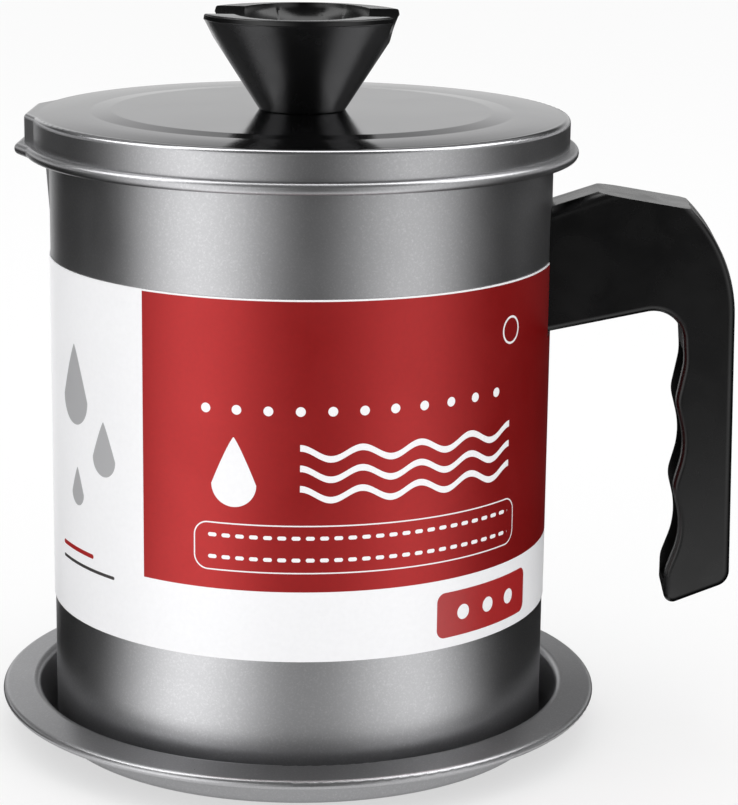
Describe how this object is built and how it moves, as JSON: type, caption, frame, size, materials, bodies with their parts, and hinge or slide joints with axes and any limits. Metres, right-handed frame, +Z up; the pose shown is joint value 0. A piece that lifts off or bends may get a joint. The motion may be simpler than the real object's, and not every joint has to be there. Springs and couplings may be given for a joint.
{
  "type": "bacon grease container",
  "caption": "Round steel oil pot with a side handle, a lift-out strainer, a knobbed lid and a drip tray.",
  "frame": {"origin": "centre of the drip tray's flat underside", "axes": "+Z up, +X towards the handle, -X towards the pouring spout"},
  "size_m": [0.1783, 0.1464, 0.175],
  "materials": {
    "coated_steel": "satin grey non-stick coating with a fine grain",
    "label": "printed paper, white with a red panel",
    "steel": "plain stainless steel",
    "bakelite": "moulded black",
    "brass": "machined"
  },
  "bodies": {
    "tray": {"drip_tray": "coated_steel"},
    "pot": {"pot_body": "coated_steel", "label_wrap": "label", "handle_bracket": "steel", "handle_grip": "bakelite", "handle_insert": "brass", "handle_washer": "steel", "handle_screw": "steel"},
    "strainer": {"strainer_cup": "steel", "strainer_mesh": "steel", "strainer_ring": "steel"},
    "lid": {"lid_shell": "coated_steel", "lid_knob": "bakelite", "knob_insert": "brass", "knob_washer": "steel", "knob_screw": "steel"}
  },
  "joints": [
    {"name": "pot_lift", "type": "slide", "parent": "tray", "child": "pot", "axis": [0, 0, 1], "range_m": [0, 0.04]},
    {"name": "strainer_lift", "type": "slide", "parent": "pot", "child": "strainer", "axis": [0, 0, 1], "range_m": [0, 0.06]},
    {"name": "lid_lift", "type": "slide", "parent": "strainer", "child": "lid", "axis": [0, 0, 1], "range_m": [0, 0.06]}
  ]
}
